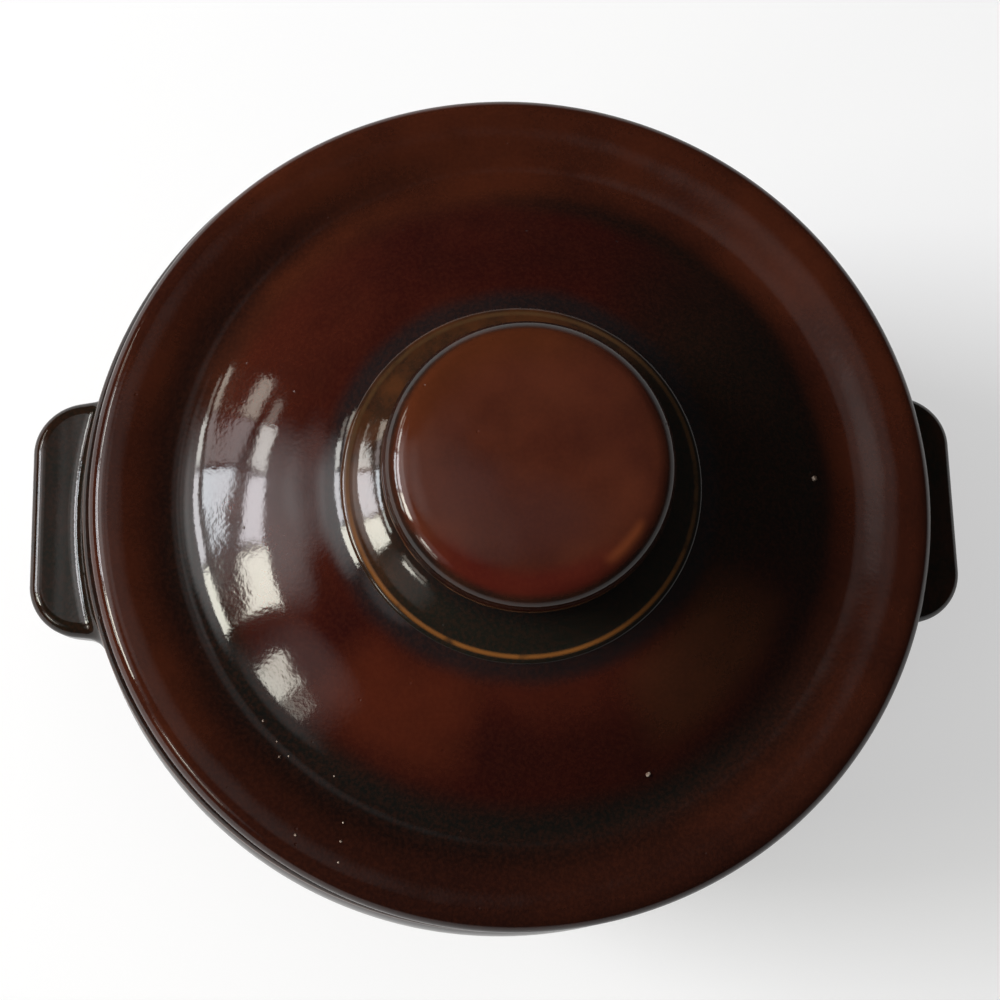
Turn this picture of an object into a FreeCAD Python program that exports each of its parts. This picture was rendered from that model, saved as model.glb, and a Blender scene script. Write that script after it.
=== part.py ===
import FreeCAD, Part
import math
import os

# Stoneware bean pot with a loose lid. Millimetres, +Z up, origin at the middle of the foot.
# X runs through the two tab handles, and the side nearest the viewer is -Y.

# pot
POT_HEIGHT = 125.0
BELLY_RADIUS = 96.3
BELLY_HEIGHT = 98.0
LIP_RADIUS = 93.4
LIP_HEIGHT = 121.0
SEAT_OUTER = 90.4
SEAT_INNER = 83.2
MOUTH_RADIUS = 81.2
FOOT_OUTER = 63.0
FOOT_INNER = 57.0
FOOT_RECESS = 2.8
FLOOR_TOP = 9.0
INNER_BELLY = 89.2

# tab handles
TAB_REACH = 108.5
TAB_HALF_WIDTH = 26.0
TAB_FLARE_DEG = 7.0
TAB_CORNER = 12.0
TAB_EDGE = 3.2
TAB_SWEEP = 5.5
TAB_TOP = 106.4
TAB_BOTTOM = 94.6
TAB_ROOT = 90.0

# lid and knob, heights counted from the plane of the lid's widest circle;
# the loose lid rests a little off the pot's axis, inside its play in the mouth
LID_X = 1.5
LID_Y = -0.8
LID_PLANE = 129.0
LID_RADIUS = 92.0
BEAD = 4.0
RING_RADIUS = 78.8
RING_INNER = 74.0
RING_DEPTH = 15.0
CROWN_RADIUS = 39.0
CROWN_HEIGHT = 14.2
COLLAR_RADIUS = 36.5
COLLAR_HEIGHT = 16.8
NECK_RADIUS = 24.2
NECK_HEIGHT = 25.6
HEAD_RADIUS = 29.2
HEAD_HEIGHT = 33.0
KNOB_TOP = 40.0


def point(radius, height):
    return FreeCAD.Vector(radius, 0.0, height)


def smooth(points, start_way, end_way):
    """A smooth curve through the points, with given directions at its two ends."""
    curve = Part.BSplineCurve()
    curve.interpolate(Points=points, InitialTangent=point(*start_way), FinalTangent=point(*end_way))
    return curve.toShape()


def outline(start, steps):
    """Joins steps into one outline of (radius, height). A step is a point for a straight line,
    [through, end] for an arc, or [start way, points..., end way] for a smooth curve."""
    edges = []
    here = point(*start)
    for step in steps:
        if isinstance(step, tuple):
            target = point(*step)
            edges.append(Part.makeLine(here, target))
        elif len(step) == 2:
            target = point(*step[1])
            edges.append(Part.Arc(here, point(*step[0]), target).toShape())
        else:
            passed = [here] + [point(*entry) for entry in step[1:-1]]
            target = passed[-1]
            edges.append(smooth(passed, step[0], step[-1]))
        here = target
    edges.append(Part.makeLine(here, point(*start)))
    return Part.Face(Part.Wire(edges))


def turned(section):
    """Turns a half section round the Z axis. The seam is kept away from the tab handles."""
    middle = FreeCAD.Vector(0, 0, 0)
    upward = FreeCAD.Vector(0, 0, 1)
    solid = section.revolve(middle, upward, 360)
    solid.rotate(middle, upward, 90)
    return solid


# the pot: foot ring, belly, shoulder, rounded lip with a flat seat, and the hollow inside
def make_pot():
    foot = [
        (FOOT_INNER - 2.0, FOOT_RECESS),
        (FOOT_INNER, 0.0),
        (FOOT_OUTER, 0.0),
        [(64.9, 0.8), (65.8, 2.6)],
        (66.6, 4.0),
    ]
    outside = [
        [(0.6, 0.8), (75.0, 16.0), (87.4, 42.0), (94.3, 70.0), (BELLY_RADIUS, BELLY_HEIGHT), (95.4, 107.4),
         (92.4, 116.0), (-0.55, 0.83)],
    ]
    lip = [
        (92.2, 117.4),
        [(93.1, 119.0), (LIP_RADIUS, LIP_HEIGHT)],
        [(0.0, 1.0), (92.6, 123.6), (SEAT_OUTER, POT_HEIGHT), (-1.0, 0.0)],
        (SEAT_INNER, POT_HEIGHT),
        [(81.8, 124.3), (MOUTH_RADIUS, 122.8)],
        (MOUTH_RADIUS, 119.2),
    ]
    inside = [
        [(0.0, -1.0), (84.6, 114.0), (88.1, 107.0), (INNER_BELLY, BELLY_HEIGHT), (87.0, 70.0), (79.6, 43.0),
         (68.0, 21.5), (54.0, 11.4), (36.0, FLOOR_TOP), (-1.0, 0.0)],
        (0.0, FLOOR_TOP),
    ]
    return turned(outline((0.0, FOOT_RECESS), foot + outside + lip + inside))


# a tab handle: a flared tongue with rounded corners and a dished top, swept into the wall all round
def make_tab(pot):
    root_half = TAB_HALF_WIDTH + (TAB_REACH - TAB_ROOT) * math.tan(math.radians(TAB_FLARE_DEG))
    corners = [
        FreeCAD.Vector(TAB_ROOT, -root_half, 0),
        FreeCAD.Vector(TAB_REACH, -TAB_HALF_WIDTH, 0),
        FreeCAD.Vector(TAB_REACH, TAB_HALF_WIDTH, 0),
        FreeCAD.Vector(TAB_ROOT, root_half, 0),
    ]
    plan = Part.Face(Part.makePolygon(corners + corners[:1]))
    tongue = plan.extrude(FreeCAD.Vector(0, 0, POT_HEIGHT))
    outer_corners = [edge for edge in tongue.Edges if is_upright(edge) and edge.CenterOfMass.x > TAB_REACH - 1]
    tongue = tongue.makeFillet(TAB_CORNER, outer_corners)

    beyond = TAB_REACH + 2.0
    side = outline((TAB_ROOT, TAB_BOTTOM), [
        (beyond, TAB_BOTTOM),
        (beyond, TAB_TOP + 0.5),
        [(-1.0, -0.15), (102.0, TAB_TOP - 0.4), (TAB_ROOT, TAB_TOP + 0.8), (-1.0, 0.1)],
    ])
    side.translate(FreeCAD.Vector(0, -POT_HEIGHT / 2, 0))
    tongue = tongue.common(side.extrude(FreeCAD.Vector(0, POT_HEIGHT, 0)))
    rims = [edge for edge in tongue.Edges if not is_upright(edge) and edge.BoundBox.XMax > TAB_ROOT + 1]
    tongue = tongue.makeFillet(TAB_EDGE, rims).Solids[0]

    joined = pot.fuse(tongue)
    seam = [edge for edge in joined.Edges if is_seam(edge)]
    joined = joined.makeFillet(TAB_SWEEP, seam)
    return max(joined.cut(pot).Solids, key=lambda solid: solid.Volume)


def is_upright(edge):
    box = edge.BoundBox
    return box.XLength < 0.01 and box.YLength < 0.01 and box.ZLength > 1


def is_seam(edge):
    """An edge of the joined pot where the tongue meets the outside of the wall."""
    box = edge.BoundBox
    near = INNER_BELLY < box.XMax < BELLY_RADIUS + 1 and box.XMin > TAB_ROOT
    level = box.ZMin > TAB_BOTTOM - 1 and box.ZMax < TAB_TOP + 2
    return near and level


# the lid: rounded rim, dished band, valley and dome above; seat, locating ring and hollow below
def make_lid():
    ring = [
        [(1.0, 0.0), (38.0, 8.0), (48.0, 5.8), (58.0, 1.8), (66.0, -2.6), (71.0, -5.6), (73.2, -9.0), (0.25, -1.0)],
        [(0.3, -1.0), (RING_INNER, -13.0), (0.2, -1.0)],
        [(76.2, -RING_DEPTH), (RING_RADIUS - 0.4, -13.0)],
        (RING_RADIUS, -BEAD),
        (LID_RADIUS - BEAD, -BEAD),
    ]
    rim = [
        [(LID_RADIUS, 0.0), (LID_RADIUS - BEAD, BEAD)],
    ]
    top = [
        [(-1.0, 0.0), (82.0, 3.4), (76.8, 2.0), (73.2, 1.5), (70.2, 2.1), (66.4, 3.9), (58.0, 8.4),
         (48.0, 12.6), (CROWN_RADIUS + 1.0, CROWN_HEIGHT + 0.6), (-1.0, 0.12)],
        [(CROWN_RADIUS + 0.3, CROWN_HEIGHT + 0.4), (CROWN_RADIUS, CROWN_HEIGHT)],
        (0.0, CROWN_HEIGHT),
    ]
    return on_the_pot(turned(outline((0.0, 9.4), ring + rim + top)))


# the knob: a flared foot ending in a sharp arris, a narrow neck and a flat-topped head
def make_knob():
    foot = [
        (CROWN_RADIUS - 0.8, CROWN_HEIGHT),
        [(37.7, 16.1), (COLLAR_RADIUS, COLLAR_HEIGHT)],
    ]
    flare = [
        [(-1.0, 0.1), (33.8, 17.2), (30.0, 18.6), (26.6, 21.2), (NECK_RADIUS, NECK_HEIGHT), (0.0, 1.0)],
        [(0.0, 1.0), (24.9, 28.6), (27.0, 30.6), (1.0, 0.45)],
    ]
    head = [
        [(28.8, 31.7), (HEAD_RADIUS, HEAD_HEIGHT)],
        [(0.0, 1.0), (28.8, 35.4), (27.1, 37.9), (23.5, 39.2), (-1.0, 0.12)],
        [(-1.0, 0.12), (12.0, 39.8), (0.0, KNOB_TOP), (-1.0, 0.0)],
    ]
    return on_the_pot(turned(outline((0.0, CROWN_HEIGHT), foot + flare + head)))


def on_the_pot(piece):
    """Sets a piece of the lid down where the lid rests."""
    piece.translate(FreeCAD.Vector(LID_X, LID_Y, LID_PLANE))
    return piece


pot_body = make_pot()
handle_right = make_tab(pot_body)
handle_left = handle_right.copy()
handle_left.rotate(FreeCAD.Vector(0, 0, 0), FreeCAD.Vector(0, 0, 1), 180)

nodes = {
    "pot_body": pot_body,
    "handle_left": handle_left,
    "handle_right": handle_right,
    "lid_dome": make_lid(),
    "lid_knob": make_knob(),
}

os.makedirs("parts", exist_ok=True)
for name, shape in nodes.items():
    shape.exportStep("parts/" + name + ".step")
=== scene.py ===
import math
import random

import bmesh
import bpy
import numpy as np
from mathutils import Matrix, Vector


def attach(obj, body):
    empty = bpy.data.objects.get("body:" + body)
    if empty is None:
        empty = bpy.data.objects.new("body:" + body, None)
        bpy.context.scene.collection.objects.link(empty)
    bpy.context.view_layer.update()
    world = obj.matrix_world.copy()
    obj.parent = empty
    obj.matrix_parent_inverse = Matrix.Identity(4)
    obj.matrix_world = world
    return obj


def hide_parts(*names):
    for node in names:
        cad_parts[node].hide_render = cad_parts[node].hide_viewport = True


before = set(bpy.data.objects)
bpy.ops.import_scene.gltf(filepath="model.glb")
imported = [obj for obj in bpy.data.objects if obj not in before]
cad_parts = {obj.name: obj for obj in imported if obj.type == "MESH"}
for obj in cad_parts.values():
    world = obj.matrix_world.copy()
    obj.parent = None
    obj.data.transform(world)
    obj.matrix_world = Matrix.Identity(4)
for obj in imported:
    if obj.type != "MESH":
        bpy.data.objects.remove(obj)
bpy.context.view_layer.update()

MM = 0.001
TURN_STEPS = 256
SAME_PLACE = 1e-7
ON_THE_AXIS = 1e-6

# pot, in millimetres
POT_HEIGHT = 125.0
BELLY_RADIUS = 96.3
BELLY_HEIGHT = 98.0
LIP_RADIUS = 93.4
LIP_HEIGHT = 121.0
SEAT_OUTER = 90.4
SEAT_INNER = 83.2
MOUTH_RADIUS = 81.2
FOOT_OUTER = 63.0
FOOT_INNER = 57.0
FOOT_RECESS = 2.8
FLOOR_TOP = 9.0
INNER_BELLY = 89.2

# lid and knob, heights counted from the plane of the lid's widest circle
LID_X = 1.5
LID_Y = -0.8
LID_PLANE = 129.0
LID_RADIUS = 92.0
BEAD = 4.0
RING_RADIUS = 78.8
RING_INNER = 74.0
RING_DEPTH = 15.0
CROWN_RADIUS = 39.0
CROWN_HEIGHT = 14.2
COLLAR_RADIUS = 36.5
COLLAR_HEIGHT = 16.8
NECK_RADIUS = 24.2
NECK_HEIGHT = 25.6
HEAD_RADIUS = 29.2
HEAD_HEIGHT = 33.0
KNOB_TOP = 40.0

# grains in the lid's glaze: radius and angle on the lid, and size
GRAINS = [
    (64.9, 2, 1.3), (65.5, 293, 1.1), (72.3, 221, 0.5), (73.2, 225, 0.4), (75.1, 227, 0.5),
    (73.7, 228, 0.4), (71.3, 236, 0.4), (85.4, 236, 0.6), (78.5, 241, 0.4), (82.0, 242, 0.5),
    (85.9, 243, 0.4),
]
GRAIN_ROUGHNESS = 0.25
GRAIN_RISE = 0.45
GRAIN_GLOSS = 0.4
GRAIN_SEED = 7


# outlines
def spline(points, start_way, end_way, per_gap=7):
    """A cubic spline through the points, clamped to a direction at each end."""
    p = np.array(points, float)
    gaps = np.linalg.norm(np.diff(p, axis=0), axis=1)
    count = len(p)
    system = np.eye(count)
    slopes = np.zeros((count, 2))
    slopes[0] = np.array(start_way) / np.linalg.norm(start_way)
    slopes[-1] = np.array(end_way) / np.linalg.norm(end_way)
    for i in range(1, count - 1):
        before, after = gaps[i - 1], gaps[i]
        system[i, i - 1:i + 2] = after, 2 * (before + after), before
        slopes[i] = 3 * (after / before * (p[i] - p[i - 1]) + before / after * (p[i + 1] - p[i]))
    slopes = np.linalg.solve(system, slopes)
    made = []
    for i in range(count - 1):
        for s in np.linspace(0, 1, per_gap, endpoint=False)[(i == 0):]:
            here = (1 + 2 * s) * (1 - s) ** 2 * p[i] + s * s * (3 - 2 * s) * p[i + 1]
            lean = s * (1 - s) ** 2 * slopes[i] - s * s * (1 - s) * slopes[i + 1]
            made.append(here + gaps[i] * lean)
    return made + [p[-1]]


def arc(start, through, end, steps=10):
    """Points on the circle through three points, without the first."""
    (ax, ay), (bx, by), (cx, cy) = start, through, end
    d = 2 * (ax * (by - cy) + bx * (cy - ay) + cx * (ay - by))
    a2, b2, c2 = ax * ax + ay * ay, bx * bx + by * by, cx * cx + cy * cy
    ox = (a2 * (by - cy) + b2 * (cy - ay) + c2 * (ay - by)) / d
    oy = (a2 * (cx - bx) + b2 * (ax - cx) + c2 * (bx - ax)) / d
    radius = math.hypot(ax - ox, ay - oy)
    first = math.atan2(ay - oy, ax - ox)
    middle = (math.atan2(by - oy, bx - ox) - first) % math.tau
    last = (math.atan2(cy - oy, cx - ox) - first) % math.tau
    sweep = last if middle < last else last - math.tau
    angles = [first + sweep * k / steps for k in range(1, steps + 1)]
    return [np.array((ox + radius * math.cos(a), oy + radius * math.sin(a))) for a in angles]


def straight(start, end, ease=0.12):
    """A straight run with close points at both ends, which keep its corners crisp."""
    start, end = np.array(start, float), np.array(end, float)
    length = np.linalg.norm(end - start)
    near = min(0.3, ease / length)
    return [start + (end - start) * t for t in (near, 0.35, 0.65, 1 - near, 1)]


def outline(start, steps):
    """A step is a point for a straight line, [through, end] for an arc,
    or [start way, points..., end way] for a smooth curve."""
    made = [np.array(start, float)]
    for step in steps:
        if isinstance(step, tuple):
            made += straight(made[-1], step)
        elif len(step) == 2:
            made += arc(made[-1], step[0], step[1])
        else:
            made += spline([made[-1]] + step[1:-1], step[0], step[-1])
    return made


# meshes
def new_piece(name, bm, axis, body, slot, *nodes):
    bmesh.ops.remove_doubles(bm, verts=bm.verts, dist=SAME_PLACE)
    bmesh.ops.recalc_face_normals(bm, faces=bm.faces)
    for face in bm.faces:
        face.smooth = True
    mesh = bpy.data.meshes.new(name)
    bm.to_mesh(mesh)
    bm.free()
    piece = bpy.data.objects.new(name, mesh)
    bpy.context.collection.objects.link(piece)
    piece.location = (axis[0] * MM, axis[1] * MM, 0)
    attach(piece, body)
    if nodes:
        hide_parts(*nodes)
    return piece


def turned(points, base=0.0):
    """Turns an outline of (radius, height) that starts and ends on the axis round Z."""
    bm = bmesh.new()
    angles = [math.tau * k / TURN_STEPS for k in range(TURN_STEPS)]
    rings = []
    for radius, height in points:
        z = (height + base) * MM
        if radius < ON_THE_AXIS:
            ring = [(0, 0, z)]
        else:
            ring = [(radius * MM * math.cos(a), radius * MM * math.sin(a), z) for a in angles]
        rings.append([bm.verts.new(spot) for spot in ring])
    for low, high in zip(rings, rings[1:]):
        for k in range(TURN_STEPS):
            after = (k + 1) % TURN_STEPS
            if len(low) == 1:
                bm.faces.new((low[0], high[k], high[after]))
            elif len(high) == 1:
                bm.faces.new((low[k], high[0], low[after]))
            else:
                bm.faces.new((low[k], high[k], high[after], low[after]))
    return bm


# the pot
def make_pot():
    foot = [
        (FOOT_INNER - 2.0, FOOT_RECESS),
        (FOOT_INNER, 0.0),
        (FOOT_OUTER, 0.0),
        [(64.9, 0.8), (65.8, 2.6)],
        (66.6, 4.0),
    ]
    outside = [
        [(0.6, 0.8), (75.0, 16.0), (87.4, 42.0), (94.3, 70.0), (BELLY_RADIUS, BELLY_HEIGHT), (95.4, 107.4),
         (92.4, 116.0), (-0.55, 0.83)],
    ]
    lip = [
        (92.2, 117.4),
        [(93.1, 119.0), (LIP_RADIUS, LIP_HEIGHT)],
        [(0.0, 1.0), (93.1, 122.5), (92.1, 123.6), (90.8, 124.4), (SEAT_OUTER - 1.2, POT_HEIGHT),
         (-1.0, 0.0)],
        (SEAT_INNER, POT_HEIGHT),
        [(81.8, 124.3), (MOUTH_RADIUS, 122.8)],
        (MOUTH_RADIUS, 119.2),
    ]
    inside = [
        [(0.0, -1.0), (84.6, 114.0), (88.1, 107.0), (INNER_BELLY, BELLY_HEIGHT), (87.0, 70.0), (79.6, 43.0),
         (68.0, 21.5), (54.0, 11.4), (36.0, FLOOR_TOP), (-1.0, 0.0)],
        (0.0, FLOOR_TOP),
    ]
    points = outline((0.0, FOOT_RECESS), foot + outside + lip + inside)
    piece = new_piece("pot_shell", turned(points), (0, 0), "pot", "pot_body", "pot_body")
    for face in piece.data.polygons:
        face.material_index = int(is_inside(face))
    return piece


def is_inside(face):
    """A face of the pot's hollow: its floor, or its wall, which looks towards the axis."""
    flat = Vector((face.center.x, face.center.y, 0))
    looks_inwards = flat.dot(face.normal) < 0
    on_the_floor = face.normal.z > 0.3 and flat.length < (MOUTH_RADIUS - 1) * MM
    return face.center.z > (FLOOR_TOP - 0.5) * MM and (looks_inwards or on_the_floor)


# the lid
LID_TOP = [
    [(-1.0, 0.0), (82.0, 3.4), (76.8, 2.0), (73.2, 1.5), (70.2, 2.1), (66.4, 3.9), (58.0, 8.4),
     (48.0, 12.6), (44.2, 13.65), (41.5, 14.4), (39.8, 15.05), (38.6, 15.6), (37.5, 16.2), (-1.0, 0.58)],
    (37.2, CROWN_HEIGHT),
]


def make_lid():
    ring = [
        [(1.0, 0.0), (38.0, 8.0), (48.0, 5.8), (58.0, 1.8), (66.0, -2.6), (71.0, -5.6), (73.2, -9.0),
         (0.25, -1.0)],
        [(0.3, -1.0), (RING_INNER, -13.0), (0.2, -1.0)],
        [(76.2, -RING_DEPTH), (RING_RADIUS - 0.4, -13.0)],
        (RING_RADIUS, -BEAD),
        (LID_RADIUS - BEAD, -BEAD),
    ]
    rim = [
        [(LID_RADIUS, 0.0), (LID_RADIUS - BEAD, BEAD)],
    ]
    points = outline((0.0, 9.4), ring + rim + LID_TOP + [(0.0, CROWN_HEIGHT)])
    return new_piece("lid_shell", turned(points, LID_PLANE), (LID_X, LID_Y), "lid", "lid_dome", "lid_dome")


def make_grains():
    """Low rounded grains half sunk in the lid's glaze."""
    top = outline((LID_RADIUS - BEAD, BEAD), LID_TOP)
    radii = [p[0] for p in reversed(top)]
    heights = [p[1] for p in reversed(top)]
    bm = bmesh.new()
    for radius, degrees, size in GRAINS:
        angle = math.radians(degrees)
        height = np.interp(radius, radii, heights) + LID_PLANE
        spot = Vector((radius * math.cos(angle), radius * math.sin(angle), height)) * MM
        made = bmesh.ops.create_icosphere(bm, subdivisions=3, radius=0.5 * size * MM)["verts"]
        for vert in made:
            rough = 1 + GRAIN_ROUGHNESS * random.uniform(-1, 1)
            vert.co = spot + Vector((vert.co.x * rough, vert.co.y * rough, vert.co.z * GRAIN_RISE))
    return new_piece("lid_grains", bm, (LID_X, LID_Y), "lid", "lid_dome")


# the knob
def make_knob():
    foot = [
        (CROWN_RADIUS - 0.8, CROWN_HEIGHT),
        [(37.7, 16.1), (COLLAR_RADIUS, COLLAR_HEIGHT)],
    ]
    flare = [
        [(-1.0, 0.05), (35.2, 17.0), (33.4, 17.8), (31.0, 19.1), (28.6, 20.7), (26.2, 22.9),
         (NECK_RADIUS, NECK_HEIGHT), (0.0, 1.0)],
        [(0.0, 1.0), (24.9, 28.6), (27.0, 30.6), (1.0, 0.45)],
    ]
    head = [
        [(28.8, 31.7), (HEAD_RADIUS, HEAD_HEIGHT)],
        [(0.0, 1.0), (28.85, 35.2), (28.1, 36.8), (26.6, 38.2), (24.4, 39.2), (-1.0, 0.2)],
        [(-1.0, 0.2), (18.0, 39.8), (9.0, 39.96), (0.0, KNOB_TOP), (-1.0, 0.0)],
    ]
    points = outline((0.0, CROWN_HEIGHT), foot + flare + head)
    return new_piece("knob", turned(points, LID_PLANE), (LID_X, LID_Y), "lid", "lid_knob", "lid_knob")


random.seed(GRAIN_SEED)
pot = make_pot()
lid = make_lid()
grains = make_grains()
knob = make_knob()
tabs = [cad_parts["handle_left"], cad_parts["handle_right"]]


# materials
def tone(red, green, blue):
    """A colour as it is seen on a screen, from 0 to 255, as linear light."""
    linear = [((c / 255 + 0.055) / 1.055) ** 2.4 if c > 10 else c / 255 / 12.92 for c in (red, green, blue)]
    return (*linear, 1.0)


# pairs of tones, each clouded together over a surface
LID_BROWN = (tone(63, 27, 14), tone(43, 17, 10))
LID_RED = (tone(60, 22, 13), tone(42, 11, 8))
KNOB_RED = (tone(80, 38, 24), tone(66, 29, 19))
KNOB_SIDE = (tone(44, 24, 16), tone(24, 18, 15))
FLARE_WARM = (tone(66, 38, 20), tone(44, 28, 18))
ARRIS_AMBER = (tone(74, 52, 31), tone(132, 82, 37))
POT_BROWN = (tone(70, 31, 17), tone(40, 17, 11))
POT_DARK = (tone(30, 17, 12), tone(20, 15, 12))
POT_HONEY = (tone(96, 50, 24), tone(62, 29, 15))
TAB_DARK = (tone(18, 18, 12), tone(28, 20, 14))
GRAIN_PALE = (tone(176, 160, 146), tone(96, 74, 62))
FLOOR_PALE = (tone(186, 186, 188), tone(191, 190, 189))

# single tones
FLARE_SHADE = tone(25, 25, 20)
NECK_SHADE = tone(18, 17, 17)
EDGE_BREAK_AND_HIGHLIGHT_TONE = tone(140, 92, 62)
LIP_TONE = tone(120, 70, 38)
ROLLED_TONE = tone(22, 12, 9)
INSIDE_POOL = tone(44, 22, 13)
TAB_EDGE_TONE = tone(48, 26, 15)
BARE_CLAY = tone(176, 150, 118)
CLAY_FLECK = tone(112, 84, 60)
DRIFT_TONE = tone(12, 9, 8)
FINE_TONE = tone(118, 58, 34)

# places where the glaze differs, and places of painted shade and painted highlight, laid on in this order:
# the angle of the side that they are on, with the cosines where they begin and are full; the radii that they
# lie between, with their softness; share; tone
LID_PLACES = {
    # painted shadow: the dome's right side, behind the knob and facing away from the window, darkened nearly
    # to black
    "shaded_right_side": ((8, 0.45, 0.95), (None, 66.5, 3.5), 0.88, tone(16, 17, 13)),
    "deep_red": ((283, 0.25, 0.85), (50.0, 72.0, 6.0), 0.75, tone(34, 8, 7)),
    "near_right": ((316, 0.90, 0.99), (44.0, 62.0, 5.0), 0.70, tone(62, 34, 19)),
    # the next two: the band's inner slope on the left and near sides, darker glaze and partly painted shade
    # where it faces away from the window
    "left_slope_shade": ((195, -0.25, 0.55), (72.5, 79.0, 3.0), 0.75, tone(20, 11, 9)),
    "near_slope_shade": ((283, 0.25, 0.85), (73.0, 80.0, 3.0), 0.72, tone(19, 9, 7)),
    "near_band": ((283, 0.25, 0.85), (80.0, None, 2.0), 0.50, tone(24, 11, 9)),
    "ember": ((240, 0.93, 0.99), (43.0, 63.0, 5.0), 0.60, tone(78, 31, 16)),
    "pooled": ((245, -0.45, 0.7), (67.0, 74.5, 3.5), 0.90, tone(13, 17, 15)),
    # painted shade: the steep foot of the dome on the right, which faces away from the window, darkened
    "shaded_right_foot": ((25, 0.1, 0.8), (64.5, 68.5, 3.0), 0.80, tone(15, 13, 10)),
    "groove": (None, (None, 41.75, 2.25), 0.85, tone(22, 22, 23)),
}
KNOB_PLACES = {
    "cool_middle": ((250, 0.0, 0.8), (6.0, 19.0, 6.0), 0.60, tone(66, 38, 34)),
    "amber_edge": ((118, 0.3, 0.95), (20.5, None, 4.5), 0.60, tone(78, 37, 14)),
    "red_edge": ((266, 0.55, 0.92), (22.0, None, 2.0), 0.65, tone(76, 19, 14)),
    # painted highlight: a small bright glint near the head's rounded edge
    "painted_glint": ((317, 0.965, 0.995), (23.6, 25.4, 0.9), 0.60, tone(128, 66, 36)),
}

# where one glaze gives way to another, and where the pale edge line with its painted highlight lies, in
# millimetres: from and to, or low, high and softness
DOME_TO_BAND = (70.0, 62.0)
TOP_TO_SIDE = (25.8, 27.6)
HEAD_TO_STEM = (30.8, 29.6)
NECK_TO_FLARE = (22.5, 18.0)
EDGE_BREAK_AND_HIGHLIGHT = (33.0, 33.9, 0.25)
ARRIS = (35.95, 36.75, 0.3)
ARRIS_BELOW = (20.0, 19.0)
BELLY_TO_SHOULDER = (84.0, 110.0)
LIP_BAND = (119.6, 122.4, 0.7)
LIP_OUTSIDE = (90.0, 92.5)
ROLLED_BAND = (4.6, 6.6, 0.9)
FOOT_LINE = (4.6, 4.0)
INSIDE_WALL_TO_FLOOR = (40.0, 10.0)
TAB_EDGE = (104.0, 109.0)

# the glaze's surface: sizes in millimetres, and heights as shares of the relief
GLAZE_IOR = 1.55
GLAZE_RELIEF = 0.07
GLAZE_ROUGHNESS = 0.03
ROUGHNESS_SWING = 0.08
ROUGHNESS_SIZE = 6.0
BARE_CLAY_ADDS = 0.75
DRIFT_SIZE, DRIFT_SHARE = 9.0, 0.35
FINE_SIZE, FINE_SHARE = 0.8, 0.22
PEEL_SIZE, PEEL_HEIGHT = 1.0, 0.17
SLOW_SIZE, SLOW_HEIGHT = 12.0, 1.5
FLECK_SIZE, FLECK_SHARE = 0.9, 0.6
GRIT_SIZE, GRIT_HEIGHT = 0.7, 2.0
PINHOLE_CELL, PINHOLE_DEPTH = 3.4, 0.7
PINHOLE_FREE = 0.86
PINHOLE_RIM, PINHOLE_CORE = 0.12, 0.03


class Nodes:
    """Adds nodes to one tree. Each input is a value or another node's socket."""

    def __init__(self, tree):
        self.tree = tree

    def put(self, value, socket):
        if isinstance(value, bpy.types.NodeSocket):
            self.tree.links.new(value, socket)
        else:
            socket.default_value = value

    def add(self, kind, operation=None, inputs=None):
        node = self.tree.nodes.new(kind)
        if operation:
            node.operation = operation
        for key, value in (inputs or {}).items():
            self.put(value, node.inputs[key])
        return node

    def math(self, operation, a, b=0.0, c=0.0):
        return self.add("ShaderNodeMath", operation, {0: a, 1: b, 2: c}).outputs[0]

    def both(self, a, b):
        return self.math("MULTIPLY", a, b)

    def dot(self, a, b):
        return self.add("ShaderNodeVectorMath", "DOT_PRODUCT", {0: a, 1: b}).outputs["Value"]

    def step(self, value, start, end):
        """0 at start and 1 at end, with a soft change between."""
        node = self.add("ShaderNodeMapRange", None, {"Value": value, "From Min": start, "From Max": end})
        node.interpolation_type = "SMOOTHSTEP"
        return node.outputs["Result"]

    def band(self, value, low, high, soft):
        """1 from low to high, with soft ends. An end given as None stays open."""
        if low is None:
            return self.step(value, high + soft, high - soft)
        rise = self.step(value, low - soft, low + soft)
        if high is None:
            return rise
        return self.both(rise, self.step(value, high + soft, high - soft))


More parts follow.
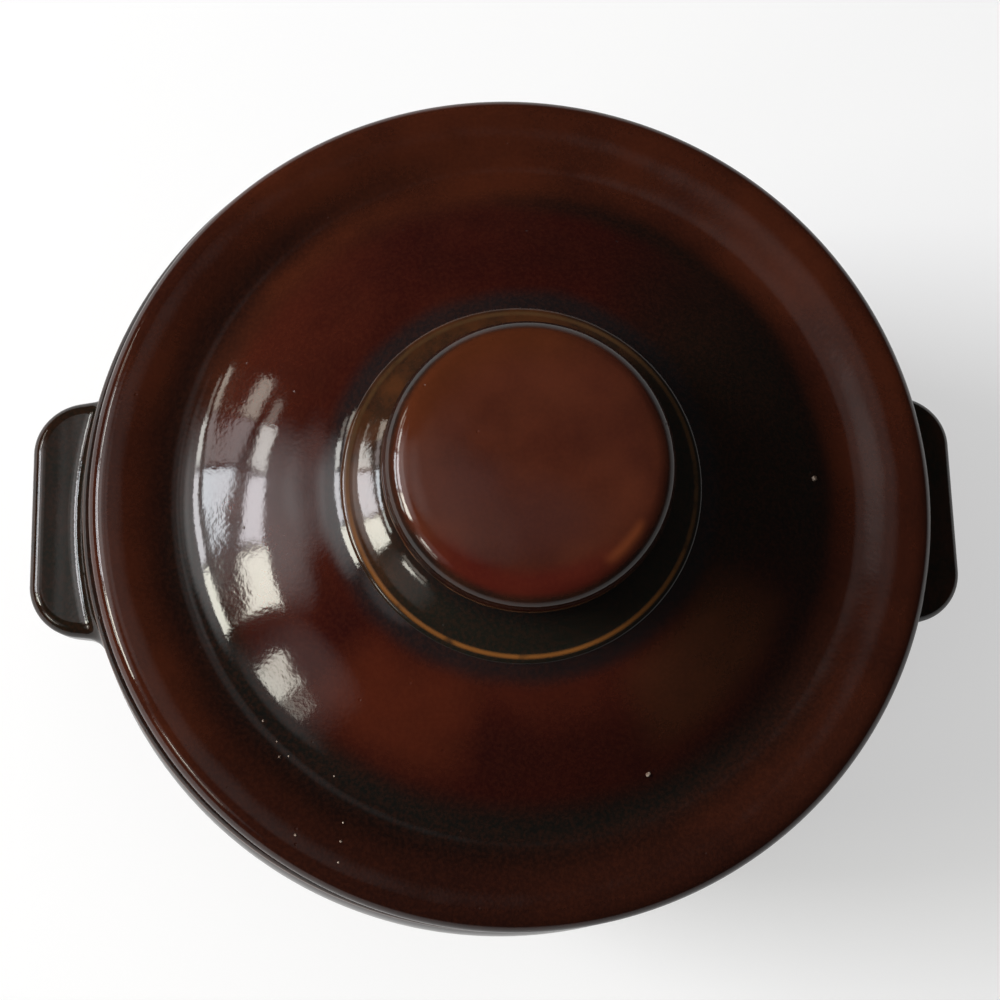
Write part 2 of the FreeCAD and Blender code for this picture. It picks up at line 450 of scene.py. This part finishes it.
class Surface(Nodes):
    """One material's nodes. Places and sizes inside it are in millimetres."""

    def __init__(self, name):
        self.material = bpy.data.materials.new(name)
        self.material.use_nodes = True
        super().__init__(self.material.node_tree)
        self.shader = self.tree.nodes["Principled BSDF"]
        place = self.add("ShaderNodeTexCoord").outputs["Object"]
        self.place = self.add("ShaderNodeVectorMath", "SCALE", {0: place, "Scale": 1 / MM}).outputs[0]
        flat = self.add("ShaderNodeVectorMath", "MULTIPLY", {0: self.place, 1: (1, 1, 0)}).outputs[0]
        self.radius = self.add("ShaderNodeVectorMath", "LENGTH", {0: flat}).outputs["Value"]
        self.outward = self.add("ShaderNodeVectorMath", "NORMALIZE", {0: flat}).outputs[0]
        self.height = self.add("ShaderNodeSeparateXYZ", None, {0: self.place}).outputs["Z"]

    def side(self, degrees, start, end):
        """1 on the side at this angle, between the cosines where it begins and is full."""
        angle = math.radians(degrees)
        return self.step(self.dot(self.outward, (math.cos(angle), math.sin(angle), 0)), start, end)

    def noise(self, size, detail=3.0, stretch=(1, 1, 1), shift=0.0):
        """Noise with features of about this size, around 0.5."""
        inputs = {0: self.place, 1: stretch, 2: (shift, shift, 0)}
        moved = self.add("ShaderNodeVectorMath", "MULTIPLY_ADD", inputs)
        inputs = {"Vector": moved.outputs[0], "Scale": 1 / size, "Detail": detail}
        return self.add("ShaderNodeTexNoise", None, inputs).outputs["Fac"]

    def mix(self, factor, a, b):
        """Two colours mixed. A Mix node keeps its colours at inputs 6 and 7 and output 2."""
        node = self.tree.nodes.new("ShaderNodeMix")
        node.data_type = "RGBA"
        for index, value in ((0, factor), (6, a), (7, b)):
            self.put(value, node.inputs[index])
        return node.outputs[2]

    def clouds(self, pair, size, edges=(0.35, 0.65), **noise):
        """Two tones in clouds of about this size."""
        return self.mix(self.step(self.noise(size, **noise), *edges), *pair)

    def paint(self, colour, mask, share, over):
        """The colour with another tone laid over it, at this share where the mask is 1."""
        return self.mix(self.math("MULTIPLY", mask, share), colour, over)

    def paint_places(self, colour, radius, places):
        for side, limits, share, over in places.values():
            mask = self.band(radius, *limits)
            if side:
                mask = self.both(self.side(*side), mask)
            colour = self.paint(colour, mask, share, over)
        return colour

    def wander(self, value, amount, size):
        """The value pushed about by noise, so that no edge runs true."""
        swing = self.math("MULTIPLY_ADD", self.noise(size, detail=2.0, shift=40.0), 2 * amount, -amount)
        return self.math("ADD", value, swing)


def pinholes(g):
    """Small pits, in some of the cells that the surface is divided into."""
    cells = g.add("ShaderNodeTexVoronoi", None, {"Vector": g.place, "Scale": 1 / PINHOLE_CELL})
    draw = g.add("ShaderNodeSeparateColor", None, {0: cells.outputs["Color"]}).outputs[0]
    chosen = g.math("GREATER_THAN", draw, PINHOLE_FREE)
    return g.both(g.step(cells.outputs["Distance"], PINHOLE_RIM, PINHOLE_CORE), chosen)


def finish_glaze(g, colour, bare=None):
    """Mottling, orange peel, pinholes and gloss that every glazed piece shares, and its bare clay."""
    drift = g.step(g.noise(DRIFT_SIZE, detail=4.0, shift=7.0), 0.3, 0.75)
    colour = g.paint(colour, drift, DRIFT_SHARE, g.mix(0.5, colour, DRIFT_TONE))
    fine = g.step(g.noise(FINE_SIZE, detail=4.0, shift=3.0), 0.35, 0.70)
    colour = g.paint(colour, fine, FINE_SHARE, g.mix(0.25, colour, FINE_TONE))
    peel = g.math("MULTIPLY", g.noise(PEEL_SIZE, shift=11.0), PEEL_HEIGHT)
    rise = g.math("MULTIPLY_ADD", g.noise(SLOW_SIZE, detail=1.0, shift=17.0), SLOW_HEIGHT, peel)
    rise = g.math("MULTIPLY_ADD", pinholes(g), -PINHOLE_DEPTH, rise)
    roughness = g.math("MULTIPLY_ADD", g.noise(ROUGHNESS_SIZE, shift=23.0), ROUGHNESS_SWING, GLAZE_ROUGHNESS)
    if bare is not None:
        fleck = g.step(g.noise(FLECK_SIZE, detail=4.0, shift=31.0), 0.5, 0.7)
        colour = g.mix(bare, colour, g.paint(BARE_CLAY, fleck, FLECK_SHARE, CLAY_FLECK))
        roughness = g.math("MULTIPLY_ADD", bare, BARE_CLAY_ADDS, roughness)
        grit = g.both(g.noise(GRIT_SIZE, detail=5.0, shift=37.0), bare)
        rise = g.math("MULTIPLY_ADD", grit, GRIT_HEIGHT, rise)
    relief = g.add("ShaderNodeBump", None, {"Height": rise, "Distance": GLAZE_RELIEF * MM})
    g.put(colour, g.shader.inputs["Base Color"])
    g.put(roughness, g.shader.inputs["Roughness"])
    g.put(relief.outputs["Normal"], g.shader.inputs["Normal"])
    g.put(GLAZE_IOR, g.shader.inputs["IOR"])
    return g.material


def lid_glaze():
    g = Surface("lid_glaze")
    radius = g.wander(g.radius, amount=1.6, size=26.0)
    brown = g.clouds(LID_BROWN, 34.0, edges=(0.3, 0.7))
    red = g.clouds(LID_RED, 40.0, shift=60.0)
    colour = g.mix(g.step(radius, *DOME_TO_BAND), brown, red)
    colour = g.paint_places(colour, radius, LID_PLACES)
    below_the_rim = g.step(g.height, LID_PLANE - BEAD + 1.2, LID_PLANE - BEAD + 0.3)
    ring_radius = g.wander(g.radius, amount=0.5, size=8.0)
    outside_the_hollow = g.step(ring_radius, RING_INNER - 0.4, RING_INNER + 0.6)
    return finish_glaze(g, colour, g.both(below_the_rim, outside_the_hollow))


def knob_glaze():
    g = Surface("knob_glaze")
    height = g.math("SUBTRACT", g.height, LID_PLANE)
    top = g.clouds(KNOB_RED, 16.0, edges=(0.3, 0.7), detail=4.0)
    top = g.paint_places(top, g.wander(g.radius, amount=0.8, size=12.0), KNOB_PLACES)
    head = g.mix(g.step(g.radius, *TOP_TO_SIDE), top, g.clouds(KNOB_SIDE, 10.0))
    warm = g.clouds(FLARE_WARM, 7.0, stretch=(1, 1, 0.4))
    # painted shade: the flare darkens on the sides away from its upper left, and the neck under the head is
    # near-black
    flare = g.mix(g.side(128, -0.35, 0.75), FLARE_SHADE, warm)
    stem = g.mix(g.step(height, *NECK_TO_FLARE), NECK_SHADE, flare)
    colour = g.mix(g.step(height, *HEAD_TO_STEM), head, stem)
    # a pale line round the head's widest part: partly glaze thinning over the edge and partly a painted
    # highlight
    edge_break_and_highlight = g.both(g.band(height, *EDGE_BREAK_AND_HIGHLIGHT), g.step(g.noise(9.0, detail=2.0), 0.3, 0.5))
    colour = g.paint(colour, edge_break_and_highlight, 0.6, EDGE_BREAK_AND_HIGHLIGHT_TONE)
    arris = g.both(g.band(g.radius, *ARRIS), g.step(g.noise(4.0, shift=9.0), 0.15, 0.5))
    arris = g.both(arris, g.step(height, *ARRIS_BELOW))
    colour = g.paint(colour, arris, 0.85, g.mix(g.side(258, -0.1, 0.85), *ARRIS_AMBER))
    return finish_glaze(g, colour)


def pot_glaze():
    g = Surface("pot_glaze")
    height = g.wander(g.height, amount=1.0, size=14.0)
    run = (1, 1, 0.12)
    brown = g.clouds(POT_BROWN, 11.0, edges=(0.35, 0.7), stretch=run)
    dark = g.clouds(POT_DARK, 11.0, edges=(0.3, 0.7), stretch=run)
    colour = g.mix(g.step(height, *BELLY_TO_SHOULDER), brown, dark)
    lip = g.both(g.band(g.height, *LIP_BAND), g.step(g.radius, *LIP_OUTSIDE))
    colour = g.paint(colour, lip, 0.6, LIP_TONE)
    colour = g.paint(colour, g.band(height, *ROLLED_BAND), 0.8, ROLLED_TONE)
    foot = g.step(height, *FOOT_LINE)
    on_top = g.step(g.height, POT_HEIGHT - 0.25, POT_HEIGHT - 0.1)
    seat = g.both(on_top, g.step(g.radius, SEAT_INNER - 0.8, SEAT_INNER - 0.2))
    return finish_glaze(g, colour, g.math("MAXIMUM", foot, seat))


def inside_glaze():
    g = Surface("inside_glaze")
    honey = g.clouds(POT_HONEY, 18.0)
    low_down = g.step(g.height, *INSIDE_WALL_TO_FLOOR)
    pooled = g.both(low_down, g.step(g.noise(26.0, shift=50.0), 0.3, 0.6))
    return finish_glaze(g, g.paint(honey, pooled, 0.6, INSIDE_POOL))


def tab_glaze():
    g = Surface("tab_glaze")
    colour = g.clouds(TAB_DARK, 12.0, edges=(0.35, 0.7))
    patchy = g.step(g.noise(8.0, detail=2.0, shift=5.0), 0.35, 0.6)
    edge = g.both(g.step(g.radius, *TAB_EDGE), patchy)
    return finish_glaze(g, g.paint(colour, edge, 0.6, TAB_EDGE_TONE))


def grain_clay():
    g = Surface("grain_clay")
    g.put(g.clouds(GRAIN_PALE, 0.5), g.shader.inputs["Base Color"])
    g.put(GRAIN_GLOSS, g.shader.inputs["Roughness"])
    return g.material


finishes = [(pot, pot_glaze), (pot, inside_glaze), (lid, lid_glaze), (knob, knob_glaze), (grains, grain_clay)]
for piece, make_material in finishes:
    piece.data.materials.append(make_material())
tab_material = tab_glaze()
for tab in tabs:
    tab.material_slots[0].material = tab_material


# floor: the light that it adds to its own colour for the eye, what more it adds far off (the change lies
# between two distances in millimetres), and the share of both that the glaze mirrors
FLOOR_GLOW = 0.48
FAR_GLOW = 0.43
FAR_FROM = 600.0
FAR_TO = 3000.0
MIRRORED_SHARE = 0.22
FLOOR_ROUGHNESS = 0.9
FLOOR_REACH = 16.0


def floor_white():
    """Pale floor that keeps its shadow and shows nearly white to the eye, and dimly in the glaze."""
    g = Surface("floor_white")
    g.put(g.mix(g.noise(300.0), *FLOOR_PALE), g.shader.inputs["Base Color"])
    g.put(FLOOR_ROUGHNESS, g.shader.inputs["Roughness"])
    rays = g.add("ShaderNodeLightPath").outputs
    mirrored = g.math("MULTIPLY", rays["Is Glossy Ray"], MIRRORED_SHARE)
    seen = g.math("MAXIMUM", rays["Is Camera Ray"], mirrored)
    seen = g.math("MAXIMUM", seen, rays["Is Transmission Ray"])
    glow = g.math("MULTIPLY_ADD", g.step(g.radius, FAR_FROM, FAR_TO), FAR_GLOW, FLOOR_GLOW)
    g.put((1, 1, 1, 1), g.shader.inputs["Emission Color"])
    g.put(g.math("MULTIPLY", seen, glow), g.shader.inputs["Emission Strength"])
    return g.material


def make_floor():
    mesh = bpy.data.meshes.new("floor")
    corners = [(x * FLOOR_REACH, y * FLOOR_REACH, 0) for x, y in ((-1, -1), (1, -1), (1, 1), (-1, 1))]
    mesh.from_pydata(corners, [], [(0, 1, 2, 3)])
    mesh.materials.append(floor_white())
    floor = bpy.data.objects.new("floor", mesh)
    bpy.context.collection.objects.link(floor)


make_floor()

# camera: place and aim in millimetres, counted from the middle of the lid's widest circle
CAMERA_AT = Vector((-25.195, -61.232, 320.971))
CAMERA_AIM = Vector((-3.658, -0.784, 0.0))
CAMERA_ROLL = math.radians(-0.445)
CAMERA_TURN = math.radians(-1.0)
CAMERA_LENS = 54.0
CAMERA_SENSOR = 36.0


def make_camera():
    data = bpy.data.cameras.new("camera")
    data.lens = CAMERA_LENS
    data.sensor_width = CAMERA_SENSOR
    camera = bpy.data.objects.new("camera", data)
    bpy.context.collection.objects.link(camera)
    about_the_lid = Matrix.Rotation(CAMERA_TURN, 3, "Z")
    back = about_the_lid @ (CAMERA_AT - CAMERA_AIM).normalized()
    right = (about_the_lid @ Vector((0, 1, 0))).cross(back).normalized()
    up = back.cross(right)
    c, s = math.cos(CAMERA_ROLL), math.sin(CAMERA_ROLL)
    turned_right = c * right + s * up
    turned_up = c * up - s * right
    place = (about_the_lid @ CAMERA_AT + Vector((LID_X, LID_Y, LID_PLANE))) * MM
    camera.matrix_world = Matrix((
        (turned_right.x, turned_up.x, back.x, place.x),
        (turned_right.y, turned_up.y, back.y, place.y),
        (turned_right.z, turned_up.z, back.z, place.z),
        (0, 0, 0, 1),
    ))
    bpy.context.scene.camera = camera


make_camera()

# lights stand round the left of the lid, at azimuths counted from +X and elevations in degrees
LIGHT_CENTRE = Vector((-0.055, 0.0, 0.14))
LIGHT_DISTANCE = 2.5

# window panes: azimuth from and to, elevation from and to, radiance, tint
WINDOW_PANES = {
    "pane_low_far": (142, 150.4, 22.6, 26.4, 4.5, (1.0, 0.93, 0.80)),
    "pane_low_shade": (151, 161.2, 22.6, 26.4, 3.0, (1.0, 0.92, 0.92)),
    "pane_low_middle": (162.8, 180.2, 22.6, 26.4, 12.0, (0.88, 0.95, 1.0)),
    "pane_low_near": (181.8, 192, 22.6, 26.4, 8.0, (0.92, 1.0, 0.92)),
    "pane_high_far": (144, 150.4, 30.0, 34.0, 2.4, (1.0, 0.93, 0.82)),
    "pane_high_shade": (151, 161.2, 30.0, 36.0, 9.0, (1.0, 1.0, 0.95)),
    "pane_high_middle": (162.8, 180.2, 30.0, 37.0, 10.0, (0.97, 0.96, 1.0)),
    "pane_high_near": (181.8, 196, 30.2, 38.2, 14.0, (1.0, 0.99, 0.86)),
    "second_high": (207, 215.5, 28.8, 32.6, 10.0, (1.0, 0.98, 0.86)),
    "second_fade": (215.8, 221.5, 28.6, 31.8, 3.0, (1.0, 0.97, 0.84)),
    "second_low": (205, 222, 22.6, 27.0, 1.8, (1.0, 0.93, 0.80)),
}

# soft lights that the glaze doesn't mirror: azimuth, elevation, size, level on a flat surface
SOFT_LIGHTS = {
    "window_glow": (172, 36, 0.9, 0.5),
    "overhead": (100, 82, 2.4, 0.24),
}


def direction(azimuth, elevation):
    a, e = math.radians(azimuth), math.radians(elevation)
    return Vector((math.cos(e) * math.cos(a), math.cos(e) * math.sin(a), math.sin(e)))


def span(degrees):
    """The length that fills this angle at the distance of the lights."""
    return 2 * LIGHT_DISTANCE * math.tan(math.radians(degrees) / 2)


def make_light(name, azimuth, elevation, width, height, power, tint, mirrored):
    data = bpy.data.lights.new(name, "AREA")
    data.shape = "RECTANGLE"
    data.size = width
    data.size_y = height
    data.energy = power
    data.color = tint
    light = bpy.data.objects.new(name, data)
    bpy.context.collection.objects.link(light)
    back = direction(azimuth, elevation)
    light.rotation_euler = back.to_track_quat("Z", "Y").to_euler()
    light.location = LIGHT_CENTRE + back * LIGHT_DISTANCE
    light.visible_glossy = mirrored


for name, (left, right, low_edge, high_edge, radiance, tint) in WINDOW_PANES.items():
    azimuth, elevation = (left + right) / 2, (low_edge + high_edge) / 2
    width = span(right - left) * math.cos(math.radians(elevation))
    height = span(high_edge - low_edge)
    make_light(name, azimuth, elevation, width, height, radiance * math.pi * width * height, tint, True)

for name, (azimuth, elevation, size, level) in SOFT_LIGHTS.items():
    power = level * math.pi ** 2 * LIGHT_DISTANCE ** 2 / math.sin(math.radians(elevation))
    make_light(name, azimuth, elevation, size, size, power, (1, 1, 1), False)


# world: a dim room with softly lit walls; the backdrop is white to the eye and dim in the glaze
ROOM_LEVEL = 0.018
BACKDROP_LEVEL = 1.0
BACKDROP_MIRRORED = 0.13
BACKDROP_TOP = 7.0
BACKDROP_FULL = 1.0

# soft glows on the walls: azimuth, elevation, core and reach in degrees, radiance
WALL_GLOWS = [
    (173, 41, 1, 21, 1.75),
    (160, 56, 0, 13, 0.7),
    (155, 70, 1, 10, 0.4),
    (213, 36, 0, 14, 0.4),
    (142, 80, 2, 14, 0.22),
]


def make_world():
    world = bpy.data.worlds.new("world")
    bpy.context.scene.world = world
    world.use_nodes = True
    g = Nodes(world.node_tree)
    way = g.add("ShaderNodeTexCoord").outputs["Generated"]
    upward = g.add("ShaderNodeSeparateXYZ", None, {0: way}).outputs["Z"]
    rays = g.add("ShaderNodeLightPath").outputs
    edges = [math.sin(math.radians(angle)) for angle in (BACKDROP_TOP, BACKDROP_FULL)]
    low_down = g.math("MULTIPLY", g.step(upward, *edges), BACKDROP_MIRRORED)
    pale = g.math("MAXIMUM", rays["Is Camera Ray"], low_down)
    pale = g.math("MAXIMUM", pale, rays["Is Transmission Ray"])
    strength = g.math("MULTIPLY_ADD", pale, BACKDROP_LEVEL - ROOM_LEVEL, ROOM_LEVEL)
    for azimuth, elevation, core, reach, radiance in WALL_GLOWS:
        edges = [math.cos(math.radians(angle)) for angle in (reach, core)]
        glow = g.step(g.dot(way, direction(azimuth, elevation)), *edges)
        glow = g.math("MULTIPLY", glow, radiance)
        to_the_eye = g.math("MULTIPLY", glow, rays["Is Camera Ray"])
        strength = g.math("ADD", strength, g.math("SUBTRACT", glow, to_the_eye))
    background = g.tree.nodes["Background"]
    g.put((1, 1, 1, 1), background.inputs["Color"])
    g.put(strength, background.inputs["Strength"])


make_world()

bpy.context.scene.view_settings.view_transform = "Standard"
